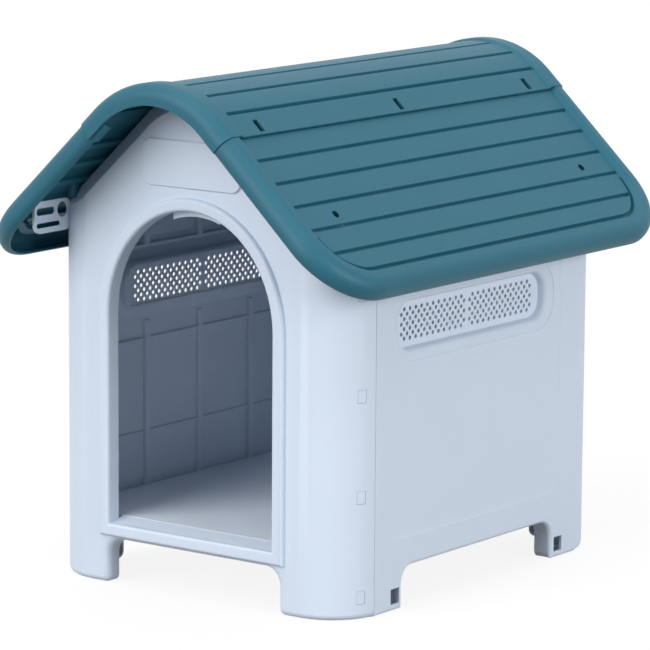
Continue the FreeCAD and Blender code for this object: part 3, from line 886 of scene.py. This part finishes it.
def press_grooves(piece, roof, places):
    """Press plank grooves into the field, in edit mode."""
    half = roof.groove_width / 2
    for place in places:
        for edge in (place - half, place + half):
            pick(piece, "FACE", lambda face: face.normal.z > FLAT and level(face, Z, 0))
            score((edge, 0, 0), (1, 0, 0))
    pick(piece, "FACE", lambda face: level(face, Z, 0)
         and any(abs(middle(face).x - place) < half for place in places))
    bpy.ops.mesh.inset(thickness=GROOVE_FLANK, depth=-roof.groove_depth)


def thicken(piece, thickness):
    """Give a roof sheet its thickness and soften its edges."""
    settle()
    finish_with(piece, "SOLIDIFY", thickness=thickness, offset=-1, use_even_offset=True)
    finish_with(piece, "BEVEL", width=0.7 * MM, segments=2, limit_method="ANGLE", angle_limit=SHARP,
                use_clamp_overlap=False)


def roll_over_ridge(piece, roof, below):
    """Lay an unrolled sheet over the ridge and slopes, a distance below the cap's planks."""
    ridge_z = roof.top - roof.ridge_radius
    bend = roof.slope * roof.ridge_radius
    for vert in piece.data.vertices:
        along = abs(vert.co.x)
        side = 1 if vert.co.x > 0 else -1
        angle = min(along, bend) / roof.ridge_radius
        run = max(0, along - bend)
        radius = roof.ridge_radius + vert.co.z - below
        vert.co.x = side * (radius * math.sin(angle) + run * math.cos(angle))
        vert.co.z = ridge_z + radius * math.cos(angle) - run * math.sin(angle)
    piece.data.update()


def lap_edge(roof):
    """From the ridge to the cap's lower edge, along the planks."""
    planks = 3.5
    return planks * roof.plank_pitch


def slot_places():
    """Positions of the lap slots along the ridge."""
    apart = 293 * MM
    return (-apart, 0, apart)


def slot_block(name, roof, y, low, high, grow=0, lead=0, tail=0):
    """Block at one lap slot of the unrolled right slope, shortened by a lead above and a tail below."""
    end = lap_edge(roof) - 4 * MM
    half_width = 4.6 * MM + grow
    return block(name, (end - SLOT_LENGTH - grow + lead, y - half_width, low),
                 (end + grow - tail, y + half_width, high))


class DOGHOUSE_OT_ridge_cap(bpy.types.Operator):
    """Rounded ridge cap with plank grooves, rims and lap slots"""
    bl_idname = "dog_house.ridge_cap"
    bl_label = "Ridge cap"

    def execute(self, context):
        roof = context.scene.dog_house_roof
        lap = lap_edge(roof)
        bend = roof.slope * roof.ridge_radius
        steps = 14
        through = 20 * MM
        piece = rimmed_sheet("roof_ridge_cap_moulding", roof, -lap - SPARE, lap + SPARE, cap_reach_y,
                             roof.rim_rise, corner=0, field_margin=40 * MM, step=4 * MM, lip=0)
        places = [side * (index + 0.5) * roof.plank_pitch for index in range(3) for side in (-1, 1)]
        press_grooves(piece, roof, places)
        slice_off((lap, 0, 0), (1, 0, 0))
        slice_off((-lap, 0, 0), (-1, 0, 0))
        for step in range(-steps, steps + 1):
            pick_all()
            score((bend * step / steps, 0, 0), (1, 0, 0))
        thicken(piece, roof.sheet - FIT)
        slots = [slot_block("slot", roof, y, -through, through) for y in slot_places()]
        slots += [copy_of(slot, "slot", HALF_TURN) for slot in slots]
        carve(piece, join(slots))
        roll_over_ridge(piece, roof, 0)
        hand_over(piece, "roof_ridge_cap", "roof", roof_plastic(context))
        return {"FINISHED"}


def panel_sheet(roof):
    """Unrolled lower panel with its plank grooves and the groove along its eave, in edit mode."""
    start = lap_edge(roof) - 33 * MM
    bend_start = roof.eave_end - roof.corner_radius
    band_span = 60 * MM
    shift = 0.45
    piece = rimmed_sheet("roof_right_panel_moulding", roof, start - SPARE, roof.eave_end, roof.panel_reach,
                         roof.panel_rim_rise, roof.corner_radius, field_margin=32 * MM, step=6 * MM,
                         lip=9 * MM)
    bpy.ops.mesh.inset(thickness=roof.groove_width)
    pick(piece, "FACE", lambda face: level(face, Z, 0) and middle(face).x > bend_start
         and span(face, X) < band_span)
    bpy.ops.mesh.inset(thickness=GROOVE_FLANK, depth=-roof.groove_depth)
    press_grooves(piece, roof, [(index + shift) * roof.plank_pitch for index in range(4, 9)])
    slice_off((start, 0, 0), (-1, 0, 0))
    return piece


def tuck_under_cap(piece, roof):
    """Step a panel's upper edge down and in to lie under the cap, in edit mode."""
    lap = lap_edge(roof)
    tuck_start = lap - 3 * MM
    narrowing = 2.6 * MM
    drop = 2.8 * MM
    for place in (lap, tuck_start):
        pick_all()
        score((place, 0, 0), (1, 0, 0))
    pick(piece, "VERT", lambda vert: vert.co.x < tuck_start + NEAR)
    bpy.ops.transform.resize(value=(1, 1 - narrowing / roof.panel_reach, 1), center_override=(0, 0, 0))
    bpy.ops.transform.translate(value=(0, 0, -drop))


def add_hooks(piece, roof):
    """Sink a blind pocket under the lower part of each lap slot, with a hook ramp in its upper part."""
    pocket_length = 7 * MM
    pocket_floor = -6 * MM
    above = 20 * MM
    ramp_top = 3.4 * MM
    ramp_fall = 6.5 * MM
    grow = -0.5 * MM
    pockets = [slot_block("hole", roof, y, pocket_floor, above, grow, lead=SLOT_LENGTH - pocket_length)
               for y in slot_places()]
    carve(piece, join(pockets))
    ramps = [slot_block("ramp", roof, y, -roof.sheet, ramp_top, grow, tail=pocket_length)
             for y in slot_places()]
    for ramp in ramps:
        slant(ramp, X, max(vert.co.x for vert in ramp.data.vertices), ramp_top, ramp_fall)
    join([piece] + ramps)


def slope_normal(roof):
    """Direction square to the right slope."""
    return Vector((math.sin(roof.slope), 0, math.cos(roof.slope)))


def cut_screw_holes(piece, roof):
    """Holes through the right panel over its screws, wider underneath to take the cups."""
    normal = slope_normal(roof)
    planks = (roof.ridge_radius - roof.sheet) / math.cos(roof.slope) - screw_x * math.tan(roof.slope)
    mouth_hole = (5.4 * MM, -10 * MM, 10 * MM)
    cup_hole = (9 * MM, -40 * MM, -1.3 * MM)
    for radius, low, high in (mouth_hole, cup_hole):
        for y in (-screw_y, screw_y):
            mouth = Vector((screw_x, y, roof.top - roof.ridge_radius + planks))
            carve(piece, rod("hole", radius, mouth + low * normal, mouth + high * normal, sides=32,
                             turn=(0, roof.slope, 0)))


def screw_cup(roof, y):
    """Cup under the right panel with a fastener's seat in its floor."""
    radius = 10.5 * MM
    floor = 2.4 * MM
    height = 40 * MM
    low = screw_seat - floor
    within_sheet = roof.ridge_radius - 1.6 * roof.sheet
    cup = rod("cup", radius, (screw_x, y, low), (screw_x, y, low + height), sides=32)
    shape(cup)
    pick(cup, "FACE", lambda face: face.normal.z > MOSTLY)
    bpy.ops.mesh.inset(thickness=1 * MM)
    draw_out((0, 0, floor - height))
    normal = slope_normal(roof)
    slice_off(Vector((0, 0, roof.top - roof.ridge_radius)) + within_sheet * normal, normal)
    pick(cup, "EDGE", lambda edge: edge.is_boundary)
    bpy.ops.mesh.bridge_edge_loops()
    face_outwards()
    return cup


class DOGHOUSE_OT_roof_panels(bpy.types.Operator):
    """Two lower roof panels with plank grooves, rolled rims, hook ramps and screw cups"""
    bl_idname = "dog_house.roof_panels"
    bl_label = "Roof panels"

    def execute(self, context):
        roof = context.scene.dog_house_roof
        piece = panel_sheet(roof)
        tuck_under_cap(piece, roof)
        thicken(piece, roof.sheet)
        add_hooks(piece, roof)
        roll_over_ridge(piece, roof, roof.sheet)
        cut_screw_holes(piece, roof)
        join([piece, screw_cup(roof, screw_y), screw_cup(roof, -screw_y)])
        other = copy_of(piece, "roof_left_panel_moulding", HALF_TURN)
        hand_over(piece, "roof_right_panel", "roof", roof_plastic(context))
        hand_over(other, "roof_left_panel", "roof", roof_plastic(context))
        return {"FINISHED"}


class DOGHOUSE_OT_roof_screws(bpy.types.Operator):
    """Four pan-head screws with cross recesses"""
    bl_idname = "dog_house.roof_screws"
    bl_label = "Roof screws"

    def execute(self, context):
        shank_radius = 1.8 * MM
        long_half = 2 * MM
        thin_half = 0.4 * MM
        recess_low = screw_high.z - 1.4 * MM
        recess_high = screw_high.z + 2 * MM
        first = rod("roof_screws_pan_heads", SCREW_HEAD, (screw_x, screw_y, screw_seat),
                    (screw_x, screw_y, screw_high.z), sides=28)
        shape(first)
        soften(first, lambda edge: level(edge, Z, screw_high.z), radius=1.3 * MM, segments=4)
        pick(first, "FACE", lambda face: face.normal.z < -MOSTLY)
        bpy.ops.mesh.inset(thickness=SCREW_HEAD - shank_radius)
        draw_out((0, 0, screw_low.z - screw_seat))
        settle()
        for half_x, half_y in ((long_half, thin_half), (thin_half, long_half)):
            carve(first, block("recess", (screw_x - half_x, screw_y - half_y, recess_low),
                               (screw_x + half_x, screw_y + half_y, recess_high)))
        moves = ((0, -2 * screw_y, 0), (-2 * screw_x, 0, 0), (-2 * screw_x, -2 * screw_y, 0))
        join([first] + [copy_of(first, "screw", Matrix.Translation(move)) for move in moves])
        hand_over(first, "roof_screws", "roof", screw_steel(context))
        return {"FINISHED"}


def by_sight(tree, unseen, seen):
    """Value for light on the object, or for what the camera, a reflection or a clear piece shows."""
    path = add_node(tree, "LightPath")
    mirror = add_node(tree, "Math", {"operation": "MAXIMUM"},
                      links={0: (path, "Is Camera Ray"), 1: (path, "Is Glossy Ray")})
    direct = add_node(tree, "Math", {"operation": "MAXIMUM"},
                      links={0: (mirror, "Value"), 1: (path, "Is Transmission Ray")})
    return add_node(tree, "MapRange", values={"To Min": unseen, "To Max": seen},
                    links={"Value": (direct, "Value")})


def studio_paper():
    """Matt white paper: seen nearly plain white with a faint shadow, and dim in the light it gives back."""
    material, tree = fresh_material("Matt white paper")
    tone = by_sight(tree, unseen=0.26, seen=1.0)
    share = by_sight(tree, unseen=0.0, seen=0.88)
    matt = add_node(tree, "BsdfDiffuse", links={"Color": (tone, "Result")})
    white = add_node(tree, "Emission", values={"Color": (1, 1, 1, 1), "Strength": 1.0})
    blend = add_node(tree, "MixShader",
                     links={0: (share, "Result"), 1: (matt, "BSDF"), 2: (white, "Emission")})
    add_node(tree, "OutputMaterial", links={"Surface": (blend, "Shader")})
    return material


def light_studio(scene):
    """White surroundings that light the object dimly, and four soft lamps."""
    lamp_distance = 4
    scene.world = bpy.data.worlds.new("Studio")
    scene.world.use_nodes = True
    tree = scene.world.node_tree
    tree.nodes.clear()
    glow = by_sight(tree, unseen=0.3, seen=1.0)
    sky = add_node(tree, "Background", values={"Color": (1, 1, 1, 1)}, links={"Strength": (glow, "Result")})
    add_node(tree, "OutputWorld", links={"Surface": (sky, "Background")})
    lamps = (("key", (-0.24, -0.87, 0.42), 2.2, 50), ("fill", (0.98, -0.04, 0.18), 1.84, 35),
             ("top", (0.0, -0.1, 1.0), 1.12, 60), ("rear", (-0.45, 0.8, 0.4), 0.8, 60))
    for name, towards, power, softness in lamps:
        settle()
        bpy.ops.object.light_add(type="SUN", location=lamp_distance * Vector(towards))
        lamp = bpy.context.object
        lamp.name = "studio_" + name
        lamp.data.energy = power
        lamp.data.angle = math.radians(softness)
        lamp.visible_glossy = name != "rear"
        lamp.rotation_euler = Vector(towards).to_track_quat("Z", "Y").to_euler()


def place_camera(scene):
    """Camera at the photograph's viewing angle."""
    place = (3.0346, -4.1078, 1.2091)
    azimuth = math.radians(36.54)
    elevation = math.radians(9.98)
    roll = math.radians(0.389)
    settle()
    bpy.ops.object.camera_add(location=place)
    camera = bpy.context.object
    camera.name = "photo_camera"
    aim = Matrix.Rotation(azimuth, 3, "Z") @ Matrix.Rotation(math.pi / 2 - elevation, 3, "X")
    camera.rotation_euler = (aim @ Matrix.Rotation(roll, 3, "Z")).to_euler()
    camera.data.sensor_width = 36
    camera.data.lens = 219.82
    camera.data.clip_end = 100
    scene.camera = camera


class DOGHOUSE_OT_stage(bpy.types.Operator):
    """Pale floor, soft studio light and the camera"""
    bl_idname = "dog_house.stage"
    bl_label = "Studio"

    def execute(self, context):
        below_feet = -0.4 * MM
        context.scene.view_settings.view_transform = "Standard"
        settle()
        bpy.ops.mesh.primitive_plane_add(size=30, location=(0, 0, below_feet))
        ground = fix_place(bpy.context.object, "studio_floor")
        ground.data.materials.append(studio_paper())
        light_studio(context.scene)
        place_camera(context.scene)
        return {"FINISHED"}


class DOGHOUSE_PT_panel(bpy.types.Panel):
    """Dog house tools in the sidebar"""
    bl_label = "Dog house"
    bl_idname = "DOGHOUSE_PT_panel"
    bl_space_type = "VIEW_3D"
    bl_region_type = "UI"
    bl_category = "Dog house"

    def draw(self, context):
        for group in groups:
            values = getattr(context.scene, group)
            box = self.layout.box()
            for name in values.__annotations__:
                box.prop(values, name)
        for operator in operators:
            self.layout.operator(operator.bl_idname)


operators = (
    DOGHOUSE_OT_front_wall,
    DOGHOUSE_OT_back_wall,
    DOGHOUSE_OT_side_walls,
    DOGHOUSE_OT_floor,
    DOGHOUSE_OT_ridge_cap,
    DOGHOUSE_OT_roof_panels,
    DOGHOUSE_OT_roof_screws,
    DOGHOUSE_OT_stage,
)
groups = {
    "dog_house_walls": DogHouseWalls,
    "dog_house_roof": DogHouseRoof,
    "dog_house_colours": DogHouseColours,
}
classes = (*groups.values(), *operators, DOGHOUSE_PT_panel)


def register():
    for item in classes:
        bpy.utils.register_class(item)
    for name, group in groups.items():
        setattr(bpy.types.Scene, name, bpy.props.PointerProperty(type=group))


def unregister():
    for name in groups:
        delattr(bpy.types.Scene, name)
    for item in reversed(classes):
        bpy.utils.unregister_class(item)


def main():
    """Build every piece and the studio."""
    register()
    bpy.ops.dog_house.front_wall()
    bpy.ops.dog_house.back_wall()
    bpy.ops.dog_house.side_walls()
    bpy.ops.dog_house.floor()
    bpy.ops.dog_house.ridge_cap()
    bpy.ops.dog_house.roof_panels()
    bpy.ops.dog_house.roof_screws()
    bpy.ops.dog_house.stage()
    settle()


if __name__ == "__main__":
    main()
